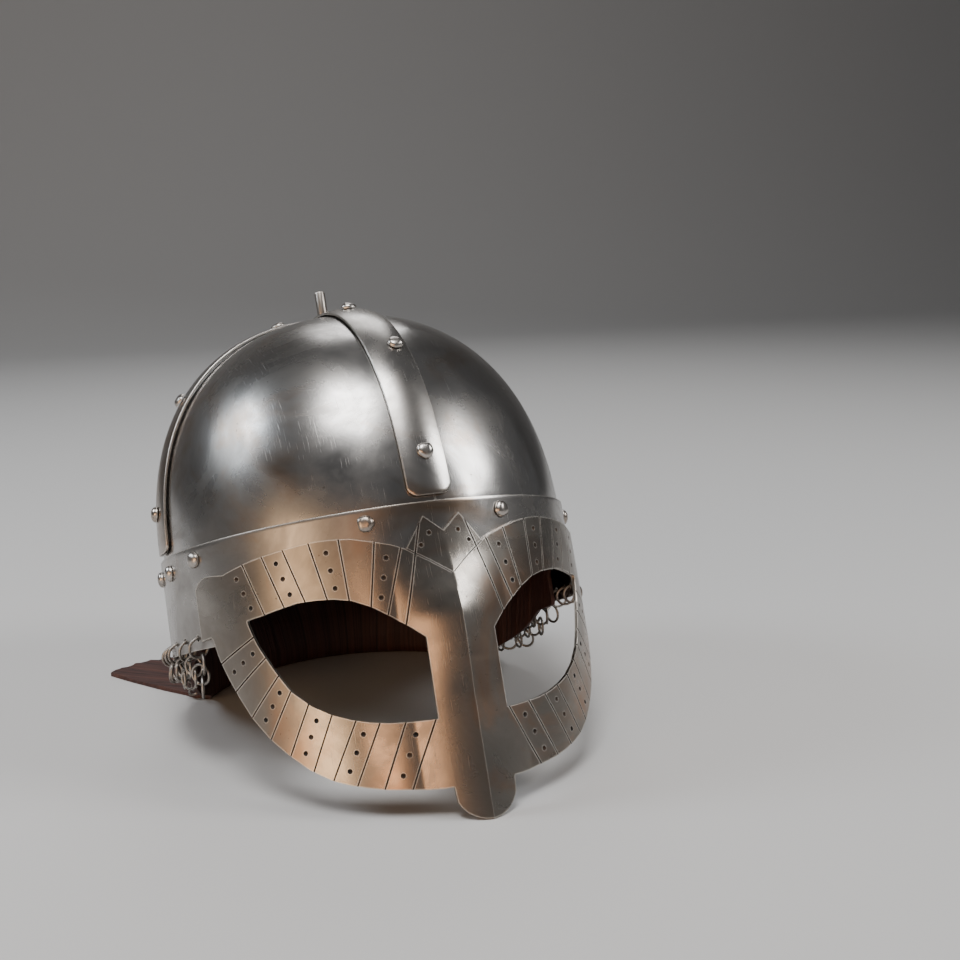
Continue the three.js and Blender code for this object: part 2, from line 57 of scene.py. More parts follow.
camera = bpy.data.objects.new("camera", bpy.data.cameras.new("camera"))
bpy.context.collection.objects.link(camera)
camera.data.lens = LENS
camera.data.sensor_width = 36
camera.data.clip_start, camera.data.clip_end = 0.01, 50
camera.matrix_world = (
    Matrix.Translation(Vector(CAMERA_AT) * MM)
    @ Matrix.Rotation(math.radians(CAMERA_AZIMUTH), 4, "Z")
    @ Matrix.Rotation(math.radians(90 - CAMERA_ELEVATION), 4, "X")
    @ Matrix.Rotation(math.radians(CAMERA_ROLL), 4, "Z")
)
bpy.context.scene.camera = camera
print(f"camera: {LENS} mm lens, {CAMERA_ELEVATION} degrees above level")

# %% [markdown]
# The skull is a rounded dome on an oval rim, a little longer than it is wide, with its apex a
# little behind the middle. It rests tipped back on the tip of the nose guard and on the nape.
# So each point is worked out on the upright helmet first, and tipped after that.
# A layer's offset is measured outwards from the face of the dome plates.

# %% Skull
HALF_WIDTH, HALF_LENGTH, DOME_HEIGHT = 102.0, 105.0, 116.0
DOME_POWER, PLAN_POWER, APEX_BACK = 2.3, 1.95, 7.0
TILT = math.radians(21.0851)
CENTRE_BACK, CENTRE_UP = 16.6248, 89.7416
GAP, LAP = 0.3, 0.6


def xyz(x, y, z):
    """Points from three coordinates, each of which may be one number or a grid."""
    return np.stack(np.broadcast_arrays(x, y, z), -1).astype(float)


def plan_point(turn, offset, z=0.0):
    """A point on the oval plan: the power mean of sine and cosine scales the two half sizes."""
    a = np.radians(turn)
    s, c = np.sin(a), np.cos(a)
    k = (np.abs(s) ** PLAN_POWER + np.abs(c) ** PLAN_POWER) ** (-1 / PLAN_POWER)
    return xyz((HALF_WIDTH + offset) * s * k, -(HALF_LENGTH + offset) * c * k, z)


def dome_point(turn, lift, offset):
    """A point of the skull: the plan shrinks as the height grows, both by the dome's power."""
    a = np.radians(lift)
    c, s = np.cos(a), np.sin(a)
    k = (c**DOME_POWER + s**DOME_POWER) ** (-1 / DOME_POWER)
    p = plan_point(turn, offset) * (c * k)[..., None]
    p[..., 1] += APEX_BACK * s * k
    p[..., 2] = (DOME_HEIGHT + offset) * s * k
    return p


def resting(p):
    """Tips a point of the upright helmet back, onto the tip of its nose and its nape."""
    c, s = math.cos(TILT), math.sin(TILT)
    y, z = p[..., 1] * c + p[..., 2] * s, p[..., 2] * c - p[..., 1] * s
    return xyz(p[..., 0], y + CENTRE_BACK, z + CENTRE_UP)


print(f"skull: {2 * HALF_WIDTH:.0f} x {2 * HALF_LENGTH:.0f} mm, {DOME_HEIGHT:.0f} mm high")

# %% [markdown]
# Sheet metal and leather are shells: two grids of points, the outer and the inner face, closed by
# walls along every free edge. Solidify would do it too, but two computed faces keep the wall
# exact on a surface that bends both ways.

# %% Shells


def new_object(name, points, faces, smooth=35):
    """Makes a mesh object from points in millimetres and lists of faces."""
    mesh = bpy.data.meshes.new(name)
    mesh.from_pydata((points * MM).tolist(), [], faces)
    mesh.validate()
    mesh.update()
    mesh.shade_smooth()
    mesh.set_sharp_from_angle(angle=math.radians(smooth))
    obj = bpy.data.objects.new(name, mesh)
    bpy.context.collection.objects.link(obj)
    return obj


def shell(name, outer, inner, keep=None, around=False, smooth=35):
    """A closed plate from two grids: its quads where keep says so, and walls where they stop."""
    nu, nv = outer.shape[:2]
    index = np.arange(nu * nv).reshape(nu, nv)
    right = np.roll(index, -1, 0) if around else index[1:]
    left = index if around else index[:-1]
    a, b, c, d = left[:, :-1], right[:, :-1], right[:, 1:], left[:, 1:]
    keep = np.ones(a.shape, bool) if keep is None else keep
    quads = np.stack([a, b, c, d], -1)[keep]
    count = nu * nv
    faces = [quads, quads[:, ::-1] + count]
    # Each side of a quad: its two corners, and the way to the neighbour beyond it
    sides = [(a, b, 1, -1), (c, d, 1, 1), (d, a, 0, -1), (b, c, 0, 1)]
    for first, second, axis, step in sides:
        if axis == 0 and around:
            beyond = np.roll(keep, -step, 0)
        else:
            beyond = np.zeros_like(keep)
            here, there = [slice(None)] * 2, [slice(None)] * 2
            here[axis] = slice(None, -1) if step > 0 else slice(1, None)
            there[axis] = slice(1, None) if step > 0 else slice(None, -1)
            beyond[tuple(here)] = keep[tuple(there)]
        edge = keep & ~beyond
        p, q = first[edge], second[edge]
        faces.append(np.stack([q, p, p + count, q + count], -1))
    points = np.concatenate([outer.reshape(-1, 3), inner.reshape(-1, 3)])
    obj = new_object(name, points, np.concatenate(faces).tolist(), smooth)
    tidy_mesh(obj, smooth)
    return obj


def tidy_mesh(obj, smooth=35, merge=0.00001):
    """Joins points that meet, drops loose ones and turns all faces outwards."""
    bm = bmesh.new()
    bm.from_mesh(obj.data)
    bmesh.ops.remove_doubles(bm, verts=bm.verts, dist=merge)
    bmesh.ops.delete(bm, geom=[v for v in bm.verts if not v.link_faces], context="VERTS")
    bmesh.ops.dissolve_degenerate(bm, edges=bm.edges, dist=merge)
    bmesh.ops.recalc_face_normals(bm, faces=bm.faces)
    bm.to_mesh(obj.data)
    bm.free()
    obj.data.shade_smooth()
    obj.data.set_sharp_from_angle(angle=math.radians(smooth))


# %% [markdown]
# Holes and engraved lines are cut with the Boolean modifier, and the filed edges are rounded with
# Bevel. Both are applied at once, so the piece that is left is a plain mesh.

# %% Edges, cuts and turned forms


def bake(obj, smooth=35):
    """Applies an object's modifiers to its mesh."""
    dg = bpy.context.evaluated_depsgraph_get()
    mesh = bpy.data.meshes.new_from_object(obj.evaluated_get(dg))
    obj.modifiers.clear()
    obj.data = mesh
    mesh.shade_smooth()
    mesh.set_sharp_from_angle(angle=math.radians(smooth))
    return obj


def soften(obj, width=0.35, segments=2, angle=50):
    """Rounds the sharp edges a little, as filed metal has them."""
    bevel = obj.modifiers.new("edge", "BEVEL")
    bevel.width, bevel.segments = width * MM, segments
    bevel.limit_method, bevel.angle_limit = "ANGLE", math.radians(angle)
    return bake(obj)


def carve(obj, cutter, smooth=35):
    """Cuts one mesh out of another and removes the tool."""
    cut = obj.modifiers.new("cut", "BOOLEAN")
    cut.object, cut.operation, cut.solver = cutter, "DIFFERENCE", "MANIFOLD"
    cut.material_mode = "TRANSFER"
    bpy.context.view_layer.update()
    bake(obj, smooth)
    bpy.data.objects.remove(cutter, do_unlink=True)
    return obj


def lathe(radius, height, count):
    """Points and faces of a closed turned form about +Z: one ring of points for each step."""
    turn = np.linspace(0, 2 * np.pi, count, endpoint=False)
    ring = np.stack([np.cos(turn), np.sin(turn)], -1)
    rows = [xyz(r * ring[:, 0], r * ring[:, 1], h) for r, h in zip(radius, height)]
    points = np.concatenate(rows)
    i = np.arange(count)
    j = (i + 1) % count
    faces = []
    for k in range(len(radius) - 1):
        low, high = k * count, (k + 1) * count
        faces += np.stack([i + low, j + low, j + high, i + high], -1).tolist()
    faces.append(list(range(count))[::-1])
    faces.append([count * (len(radius) - 1) + n for n in range(count)])
    return points, faces


def gather(parts):
    """Joins many point and face lists into one."""
    points, faces, start = [], [], 0
    for p, f in parts:
        points.append(p)
        faces += [[v + start for v in face] for face in f]
        start += len(p)
    return np.concatenate(points), faces


# %% [markdown]
# Shared effects are shader node groups. A few short helpers build the nodes, each giving back the
# socket that the next one reads.

# %% Node helpers


def group(name, inputs, outputs):
    """A new node group with named sockets, its input node and its output node."""
    tree = bpy.data.node_groups.new(name, "ShaderNodeTree")
    for title, kind in inputs:
        tree.interface.new_socket(title, in_out="INPUT", socket_type=kind)
    for title, kind in outputs:
        tree.interface.new_socket(title, in_out="OUTPUT", socket_type=kind)
    return tree, tree.nodes.new("NodeGroupInput"), tree.nodes.new("NodeGroupOutput")


def noise(tree, vector, scale, detail=4, rough=0.55, distort=0.0):
    """Smooth random values between about 0.3 and 0.7."""
    node = tree.nodes.new("ShaderNodeTexNoise")
    node.inputs["Scale"].default_value = scale
    node.inputs["Detail"].default_value = detail
    node.inputs["Roughness"].default_value = rough
    node.inputs["Distortion"].default_value = distort
    tree.links.new(vector, node.inputs["Vector"])
    return node.outputs["Fac"]


def stretch(tree, vector, scale, turn=(0, 0, 0)):
    """Turned and stretched coordinates, which draw a noise out into streaks."""
    node = tree.nodes.new("ShaderNodeMapping")
    node.inputs["Scale"].default_value = scale
    node.inputs["Rotation"].default_value = turn
    tree.links.new(vector, node.inputs["Vector"])
    return node.outputs["Vector"]


def remap(tree, value, low, high, out_low=0.0, out_high=1.0):
    """A straight ramp from one range to another, held at both ends."""
    node = tree.nodes.new("ShaderNodeMapRange")
    ends = {"From Min": low, "From Max": high, "To Min": out_low, "To Max": out_high}
    for title, number in ends.items():
        node.inputs[title].default_value = number
    tree.links.new(value, node.inputs["Value"])
    return node.outputs["Result"]


def math_node(tree, operation, a, b):
    """One sum of two values, each a number or a socket."""
    node = tree.nodes.new("ShaderNodeMath")
    node.operation = operation
    for socket, value in zip(node.inputs, (a, b)):
        if isinstance(value, (int, float)):
            socket.default_value = value
        else:
            tree.links.new(value, socket)
    return node.outputs[0]


def mix(tree, fac, a, b):
    """The colour a, and b where the factor is 1."""
    node = tree.nodes.new("ShaderNodeMix")
    node.data_type = "RGBA"
    for socket, value in ((node.inputs[0], fac), (node.inputs[6], a), (node.inputs[7], b)):
        if isinstance(value, (int, float)):
            socket.default_value = value
        elif isinstance(value, tuple):
            socket.default_value = (*value, 1)
        else:
            tree.links.new(value, socket)
    return node.outputs[2]


# %% [markdown]
# Old polished iron is never one grey. Broad clouds dull it, tarnish browns it in patches, it is
# rubbed in faint lines, scratched finely in many directions and pitted in places, and its edges
# are paled, partly as wear and partly as a painted highlight. One group gives all of these as
# masks, in the object's own coordinates.

# %% Worn metal
CLOUD_SCALE, TARNISH_SCALE, PIT_SCALE = 22, 13, 620
SCRATCH_STRETCH = (3600, 70, 70)
SCRATCH_TURNS = ((0.3, 0.9, 0.8), (0.9, -0.6, 0.2), (-0.4, 1.35, 1.9), (0.2, 0.4, 2.6))
EDGE_REACH = 0.0010


def rubbed_lines(tree, v):
    """Two sets of faint brushed streaks, each where a broad noise gives it room."""
    one = noise(tree, stretch(tree, v, (60, 900, 60), (0.4, 0.2, 0.5)), 1, 3)
    other = noise(tree, stretch(tree, v, (800, 50, 50), (0.2, 0.9, -0.6)), 1, 3)
    where = remap(tree, noise(tree, v, 17, 3), 0.45, 0.6)
    rest = math_node(tree, "SUBTRACT", 1.0, where)
    return math_node(tree, "ADD", math_node(tree, "MULTIPLY", one, where),
                     math_node(tree, "MULTIPLY", other, rest))


def scratches(tree, v):
    """The greatest of several sets of thin lines, each turned its own way and kept to patches."""
    lines = None
    for turn in SCRATCH_TURNS:
        fine = noise(tree, stretch(tree, v, SCRATCH_STRETCH, turn), 1, 2, 0.5, 0.2)
        thin = remap(tree, fine, 0.68, 0.76)
        patch = remap(tree, noise(tree, stretch(tree, v, (30, 30, 30), turn), 1, 2), 0.52, 0.62)
        thin = math_node(tree, "MULTIPLY", thin, patch)
        lines = thin if lines is None else math_node(tree, "MAXIMUM", lines, thin)
    return lines


def edge_wear_and_highlight_mask(tree):
    """1 where the surface turns sharply: the plain normal differs from a rounded one. It marks the
    pale edges, partly wear and partly a painted highlight.
    """
    rounded, flat = tree.nodes.new("ShaderNodeBevel"), tree.nodes.new("ShaderNodeNewGeometry")
    rounded.samples = 4
    rounded.inputs["Radius"].default_value = EDGE_REACH
    facing = tree.nodes.new("ShaderNodeVectorMath")
    facing.operation = "DOT_PRODUCT"
    tree.links.new(rounded.outputs["Normal"], facing.inputs[0])
    tree.links.new(flat.outputs["Normal"], facing.inputs[1])
    return remap(tree, facing.outputs["Value"], 0.99, 0.90)


def worn_metal_group():
    """All masks of worn iron, the edge one also for a painted highlight, and a height of rubbed
    lines less scratches and pits.
    """
    names = ("Cloud", "Tarnish", "Scratch", "Pit", "Height", "Edge")
    tree, start, end = group("worn_metal", [("Vector", "NodeSocketVector")],
                             [(title, "NodeSocketFloat") for title in names])
    v = start.outputs["Vector"]
    lines = scratches(tree, v)
    pits = math_node(tree, "MULTIPLY", remap(tree, noise(tree, v, PIT_SCALE, 2), 0.69, 0.74),
                     remap(tree, noise(tree, v, 40, 3), 0.5, 0.62))
    worn_away = math_node(tree, "ADD", math_node(tree, "MULTIPLY", lines, 0.5), pits)
    relief = math_node(tree, "MULTIPLY", rubbed_lines(tree, v), 0.35)
    masks = (noise(tree, v, CLOUD_SCALE, 6, 0.62, 0.6), noise(tree, v, TARNISH_SCALE, 5, 0.6, 1.2),
             lines, pits, math_node(tree, "SUBTRACT", relief, worn_away), edge_wear_and_highlight_mask(tree))
    for title, mask in zip(names, masks):
        tree.links.new(mask, end.inputs[title])
    return tree


WORN = worn_metal_group()
print("worn metal group:", len(WORN.nodes), "nodes")

# %% [markdown]
# Each metal piece has its own three colours and roughness over the same masks: the mask is
# browner than the skull, the rivets are brighter, and the mail is almost black.

# %% Metals
# The pale edge colour is partly wear and partly a painted highlight along the edges.
PIT_COLOUR, EDGE_WEAR_AND_HIGHLIGHT_COLOUR = (0.05, 0.035, 0.025), (0.80, 0.76, 0.70)
RELIEF_DEPTH = 0.00006


def new_material(name):
    """An empty material, its node tree and its shader."""
    mat = bpy.data.materials.new(name)
    mat.use_nodes = True
    return mat, mat.node_tree, mat.node_tree.nodes["Principled BSDF"]


def add_relief(tree, bsdf, height, strength, distance):
    """Bends the shading by a height, as small dents would."""
    relief = tree.nodes.new("ShaderNodeBump")
    relief.inputs["Strength"].default_value = strength
    relief.inputs["Distance"].default_value = distance
    tree.links.new(height, relief.inputs["Height"])
    tree.links.new(relief.outputs["Normal"], bsdf.inputs["Normal"])


def metal(name, base, dull, warm, tarnish, rough, relief=0.24):
    """Worn metal: three colours mixed by cloud and tarnish, and roughness that follows them."""
    mat, tree, bsdf = new_material(name)
    bsdf.inputs["Metallic"].default_value = 1
    place = tree.nodes.new("ShaderNodeTexCoord")
    worn = tree.nodes.new("ShaderNodeGroup")
    worn.node_tree = WORN
    tree.links.new(place.outputs["Object"], worn.inputs["Vector"])
    cloud, edge = worn.outputs["Cloud"], worn.outputs["Edge"]
    colour = mix(tree, remap(tree, cloud, 0.42, 0.66), base, dull)
    low, high = 0.62 - 0.25 * tarnish, 0.80 - 0.2 * tarnish
    colour = mix(tree, remap(tree, worn.outputs["Tarnish"], low, high, 0, 0.85), colour, warm)
    colour = mix(tree, math_node(tree, "MULTIPLY", worn.outputs["Pit"], 0.7), colour, PIT_COLOUR)
    # Sharp edges take the pale colour: partly wear, partly a painted highlight that makes them read
    # as bright lines.
    colour = mix(tree, math_node(tree, "MULTIPLY", edge, 0.85), colour, EDGE_WEAR_AND_HIGHLIGHT_COLOUR)
    tree.links.new(colour, bsdf.inputs["Base Color"])
    marks = math_node(tree, "ADD", math_node(tree, "MULTIPLY", worn.outputs["Scratch"], 0.2),
                      math_node(tree, "MULTIPLY", edge, 0.2))
    roughness = math_node(tree, "ADD", remap(tree, cloud, 0.35, 0.7, *rough), marks)
    tree.links.new(roughness, bsdf.inputs["Roughness"])
    add_relief(tree, bsdf, worn.outputs["Height"], relief, RELIEF_DEPTH)
    return mat


DOME_STEEL = metal("dome_steel", (0.47, 0.455, 0.44), (0.27, 0.255, 0.24),
                   (0.30, 0.20, 0.13), 0.35, (0.16, 0.36))
STRIP_STEEL = metal("strip_steel", (0.46, 0.44, 0.42), (0.28, 0.26, 0.24),
                    (0.32, 0.21, 0.13), 0.4, (0.2, 0.38))
MASK_STEEL = metal("mask_steel", (0.35, 0.32, 0.285), (0.23, 0.205, 0.18),
                   (0.33, 0.195, 0.12), 0.5, (0.2, 0.38), 0.30)
RIVET_STEEL = metal("rivet_steel", (0.50, 0.47, 0.44), (0.28, 0.25, 0.22),
                    (0.30, 0.20, 0.13), 0.4, (0.22, 0.4), 0.48)
MAIL_STEEL = metal("mail_steel", (0.17, 0.15, 0.135), (0.07, 0.06, 0.05),
                   (0.10, 0.055, 0.035), 0.6, (0.22, 0.45), 0.36)
METALS = (DOME_STEEL, STRIP_STEEL, MASK_STEEL, RIVET_STEEL, MAIL_STEEL)
print("metals:", ", ".join(m.name for m in METALS))

# %% [markdown]
# The cut lines hold dark scale. The leather is dry and fibrous: its pattern is drawn out along the
# fibres by its own flow map, so it follows the hide over the bend.

# %% Grime and leather
SCALE_DARK, SCALE_BROWN = (0.012, 0.010, 0.009), (0.060, 0.036, 0.022)
HIDE_DARK, HIDE_RED = (0.016, 0.005, 0.004), (0.075, 0.022, 0.015)
HIDE_PALE, HIDE_STAIN = (0.105, 0.036, 0.022), (0.022, 0.008, 0.006)


def grime_material():
    """Dark scale at the bottom of the chased lines and dots, a little browner in patches."""
    mat, tree, bsdf = new_material("grime")
    bsdf.inputs["Metallic"].default_value = 0.4
    bsdf.inputs["Roughness"].default_value = 0.6
    place = tree.nodes.new("ShaderNodeTexCoord")
    patch = noise(tree, place.outputs["Object"], 160, 4)
    colour = mix(tree, remap(tree, patch, 0.4, 0.65), SCALE_DARK, SCALE_BROWN)
    tree.links.new(colour, bsdf.inputs["Base Color"])
    return mat


def leather_material():
    """Dry dark leather: long fibres that run out from the rim, worn pale where they stand up."""
    mat, tree, bsdf = new_material("leather")
    place = tree.nodes.new("ShaderNodeUVMap")
    place.uv_map = "flow"
    v = place.outputs["UV"]
    fibre = noise(tree, stretch(tree, v, (620, 14, 1)), 1, 4, 0.6, 0.4)
    broad = noise(tree, stretch(tree, v, (150, 6, 1)), 1, 3)
    blotch = noise(tree, v, 30, 4)
    colour = mix(tree, remap(tree, fibre, 0.35, 0.7), HIDE_DARK, HIDE_RED)
    colour = mix(tree, remap(tree, broad, 0.5, 0.72, 0, 0.6), colour, HIDE_PALE)
    colour = mix(tree, remap(tree, blotch, 0.5, 0.75, 0, 0.5), colour, HIDE_STAIN)
    tree.links.new(colour, bsdf.inputs["Base Color"])
    tree.links.new(remap(tree, fibre, 0.3, 0.7, 0.75, 0.5), bsdf.inputs["Roughness"])
    height = math_node(tree, "ADD", fibre, math_node(tree, "MULTIPLY", broad, 1.5))
    add_relief(tree, bsdf, height, 0.9, 0.0009)
    return mat


GRIME = grime_material()
LEATHER = leather_material()
print("other finishes:", GRIME.name, LEATHER.name)

# %% [markdown]
# Every piece ends the same way: it gets its finish, belongs to the one rigid body, and takes the
# place of the solids that it stands for.

# %% Finishing a piece


def finish_piece(obj, material, nodes):
    """Gives a piece its finish, ties it to the helmet and hides the solids it stands for."""
    if material:
        obj.data.materials.clear()
        obj.data.materials.append(material)
    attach(obj, "root")
    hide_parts(*nodes)
    print(f"{obj.name}: {len(obj.data.polygons)} faces for {len(nodes)} solids")
    return obj


# %% [markdown]
# Four hammered quarter plates make the skull and meet under the strips. Each is the dome's own
# surface over a quarter turn, with a short tuck down behind the band. A sum of slow waves
# gives it the slight unevenness of hammered sheet.

# %% Dome plates
PLATE_WALL, PLATE_TUCK, PLATE_TOP = 1.5, 12.0, 86
DENT, DENT_WAVE = 0.10, 13.0
# Name, middle of the quarter round the skull, and its side across and along
QUARTERS = (("front_left", 45, 1, -1), ("back_left", 135, 1, 1),
            ("back_right", 225, -1, 1), ("front_right", 315, -1, -1))


def wobble(p, size, wave):
    """Small smooth unevenness of hand work: three crossed sine waves."""
    x, y, z = (p[..., i] / wave for i in range(3))
    return size * (np.sin(x + 1.7 * y) + np.sin(1.3 * z - y + 2) + np.sin(0.8 * x + z + 4)) / 3


for name, middle, x_side, y_side in QUARTERS:
    turn = np.linspace(middle - 45, middle + 45, 73)[:, None]
    lift = np.concatenate([[0.0], np.linspace(0, PLATE_TOP, 71)])[None, :]
    grids = []
    for offset in (-GAP, -GAP - PLATE_WALL):
        p = dome_point(turn, lift + 0 * turn, offset)
        p[:, 0] = plan_point(turn[:, 0], offset, -PLATE_TUCK)
        away = p / np.linalg.norm(p, axis=-1, keepdims=True)
        p = p + away * wobble(p, DENT, DENT_WAVE)[..., None] * (lift[..., None] > 0)
        p += np.array([x_side, y_side, 0]) * GAP / 2
        grids.append(resting(p))
    plate = shell(f"plate_{name}", *grids)
    finish_piece(plate, DOME_STEEL, [f"dome_plate_{name}"])

# %% [markdown]
# The band is one hoop, deep at the nape and cut up over the face. Its depth changes where
# the mask's tongues end, so the distance walked round the face is needed here first.

# %% Brow band
BAND_INNER, BAND_OUTER = 0.3, 1.8
BAND_DROP, BAND_FACE_DROP, BAND_STEP = 47.5, 30.0, (98.0, 114.0)
MASK_INNER, MASK_WALL = 2.1, 1.7
PAST_THE_FACE = 400
WALK_TURN = np.linspace(0, 120, 1201)
WALK = np.concatenate([[0], np.cumsum(np.linalg.norm(
    np.diff(plan_point(WALK_TURN, MASK_INNER + MASK_WALL), axis=0), axis=1))])

turn = np.linspace(-180, 180, 480, endpoint=False)[:, None]
down = np.linspace(0, 1, 19)[None, :]
walked = np.interp(np.abs(turn), WALK_TURN, WALK, right=PAST_THE_FACE)
step = np.interp(walked, BAND_STEP, (0, 1))
step = step * step * (3 - 2 * step)
drop = down * (BAND_FACE_DROP + (BAND_DROP - BAND_FACE_DROP) * step)
grids = [resting(plan_point(turn + 0 * down, offset + 0 * drop, -drop))
         for offset in (BAND_OUTER, BAND_INNER)]
band = shell("band", *grids, around=True)
soften(band, 0.3)

# %% [markdown]
# The mail hangs from a row of small holes punched square through the rim, from ear to ear.

# %% Holes for the mail
RING_COUNT, RING_SPREAD = 30, 108.0
RING_HOLE_RADIUS, RING_HOLE_UP, PUNCH_REACH = 1.5, 5.5, 4
RING_TURNS = np.linspace(180 - RING_SPREAD, 180 + RING_SPREAD, RING_COUNT)


def ring_hole(turn):
    """The middle of a hole at a turn round the band, upright."""
    return plan_point(turn, (BAND_INNER + BAND_OUTER) / 2, -(BAND_DROP - RING_HOLE_UP))


punches = []
for t in RING_TURNS:
    p, f = lathe((RING_HOLE_RADIUS, RING_HOLE_RADIUS), (-PUNCH_REACH, PUNCH_REACH), 16)
    along = plan_point(t + 1, 0) - plan_point(t - 1, 0)
    z = np.array([along[1], -along[0], 0]) / np.linalg.norm(along)
    y = np.array([0, 0, 1.0])
    x = np.cross(y, z)
    punches.append((resting(ring_hole(t) + p @ np.stack([x, y, z])), f))
p, f = gather(punches)
carve(band, new_object("tool", p, f))
finish_piece(band, STRIP_STEEL, ["brow_band"])

# %% [markdown]
# The long strip runs from the brow over the apex to the nape, and two short ones rise from the
# ears to meet it. They are crowned across, with worn edges and round corners at their feet.
# A strip is a flat section of the skull carried sideways, so rays in that section are followed
# out until they meet the skull.

# %% Strips
STRIP_WIDTH, STRIP_SHIFT, STRIP_EDGE, STRIP_CROWN = 21.0, -2.2, 1.1, 2.3
STRIP_FOOT, STRIP_CORNER = 2.5, 5.0


def section_point(ray, offset):
    """Where a ray in a flat section meets the skull, found by halving the interval."""
    low, high = 0.5 + 0 * offset, 1.2 + 0 * offset
    for _ in range(40):
        mid = (low + high) / 2
        p = ray(mid)
        x = np.abs(p[..., 0]) / (HALF_WIDTH + offset)
        y = np.abs(p[..., 1]) / (HALF_LENGTH + offset)
        z = np.abs(p[..., 2]) / (DOME_HEIGHT + offset)
        plan = (x**PLAN_POWER + y**PLAN_POWER) ** (1 / PLAN_POWER)
        inside = plan**DOME_POWER + z**DOME_POWER < 1
        low, high = np.where(inside, mid, low), np.where(inside, high, mid)
    p = ray(low)
    p[..., 1] += APEX_BACK * p[..., 2] / (DOME_HEIGHT + offset)
    return p


def long_strip_point(across, lift, offset):
    """A point of the strip from brow to nape, at a fixed distance aside."""
    across, lift, offset = np.broadcast_arrays(across, lift, np.asarray(offset, float))
    y = -(HALF_LENGTH + offset) * np.cos(np.radians(lift))
    z = (DOME_HEIGHT + offset) * np.sin(np.radians(lift))
    return section_point(lambda k: xyz(across, k * y, k * z), offset)


def side_strip_point(side, across, lift, offset):
    """A point of the strip from an ear up to the long strip."""
    across, lift, offset = np.broadcast_arrays(across, lift, np.asarray(offset, float))
    x = side * (HALF_WIDTH + offset) * np.cos(np.radians(lift))
    z = (DOME_HEIGHT + offset) * np.sin(np.radians(lift))
    return section_point(lambda k: xyz(k * x, across, k * z), offset)


def foot_lift(across):
    """Where a strip starts, in degrees: higher towards its edges, as a quarter circle."""
    past = np.maximum(0, np.abs(across) - (STRIP_WIDTH / 2 - STRIP_CORNER))
    rise = STRIP_FOOT + STRIP_CORNER - np.sqrt(np.maximum(0, STRIP_CORNER**2 - past**2))
    return np.degrees(np.arcsin(rise / DOME_HEIGHT))


share = np.concatenate([[-0.5, -0.485], np.linspace(-0.46, 0.46, 17), [0.485, 0.5]])[:, None]
crown = STRIP_EDGE + (STRIP_CROWN - STRIP_EDGE) * (1 - (2 * share) ** 2)
across = share * STRIP_WIDTH
foot = foot_lift(across)


def strip_piece(name, point, lift):
    """A strip's shell: its inner face clears the plates by the lap, its outer adds the crown."""
    grids = [resting(point(lift, LAP + w * crown + 0 * lift)) for w in (1, 0)]
    return soften(shell(name, *grids, smooth=30), 0.3)


print("strips:", STRIP_WIDTH, "mm wide")

# %% [markdown]
# The long strip is one piece over the top, drilled at the apex for the pin.

# %% Long strip
PIN_RADIUS, PIN_HEIGHT, PIN_ROOT = 2.8, 16.5, 5.0
v = np.linspace(0, 1, 161)[None, :]
strip = strip_piece("strip_long",
                    lambda lift, offset: long_strip_point(across + STRIP_SHIFT, lift, offset),
                    foot + v * (180 - 2 * foot))
apex = long_strip_point(STRIP_SHIFT, 90.0, LAP + STRIP_CROWN)
p, f = lathe((PIN_RADIUS + GAP, PIN_RADIUS + GAP), (-9, 9), 32)
carve(strip, new_object("tool", resting(apex + p), f))
finish_piece(strip, STRIP_STEEL, ["long_strip"])

# %% [markdown]
# The side strips stop just short of the long one, which sits a little off the middle, so one of
# them is a little longer.

# %% Side strips
v = np.linspace(0, 1, 81)[None, :]
for name, side in (("left", 1), ("right", -1)):
    stop = STRIP_WIDTH / 2 + side * STRIP_SHIFT + 2 * GAP
    top = math.degrees(math.acos(stop / HALF_WIDTH))
    strip = strip_piece(f"strip_{name}",
                        lambda lift, offset: side_strip_point(side, across, lift, offset),
                        foot + v * (top - foot))
    finish_piece(strip, STRIP_STEEL, [f"side_strip_{name}"])

# %% [markdown]
# The pin at the apex is a short turned peg, with its top edge worn round and its root in the
# strip.

# %% Apex pin
PIN_PROFILE_RADIUS = (PIN_RADIUS - 0.1, PIN_RADIUS, PIN_RADIUS, PIN_RADIUS - 0.15, PIN_RADIUS - 0.6)
PIN_PROFILE_HEIGHT = (-PIN_ROOT, 0.2 - PIN_ROOT, PIN_HEIGHT - 0.7, PIN_HEIGHT - 0.2, PIN_HEIGHT)
p, f = lathe(PIN_PROFILE_RADIUS, PIN_PROFILE_HEIGHT, 32)
pin = new_object("pin", resting(apex + p), f, 40)
finish_piece(pin, RIVET_STEEL, ["apex_pin"])

# %% [markdown]
# Domed rivets hold the strips and the band. Each sits square on its surface, so its seat is a
# small function of two steps, across and along, from which the outward direction follows.

# %% Rivet seats
# Rows of a strip's arm: place on the front and the shift aside there, then on the left and right
ARM = ((11, 0.8, 11, 11), (40, 4.0, 40, 40), (66.5, -0.7, 69, 75))
# Rows of the band: turn in from the front or back, and the drop
BAND_ROW = ((18.5, 6.6), (69, 6.2), (84, 8.3))
RIVET_RADIUS, RIVET_HEIGHT = 4.0, 2.5
STRIP_TOP = LAP + STRIP_CROWN

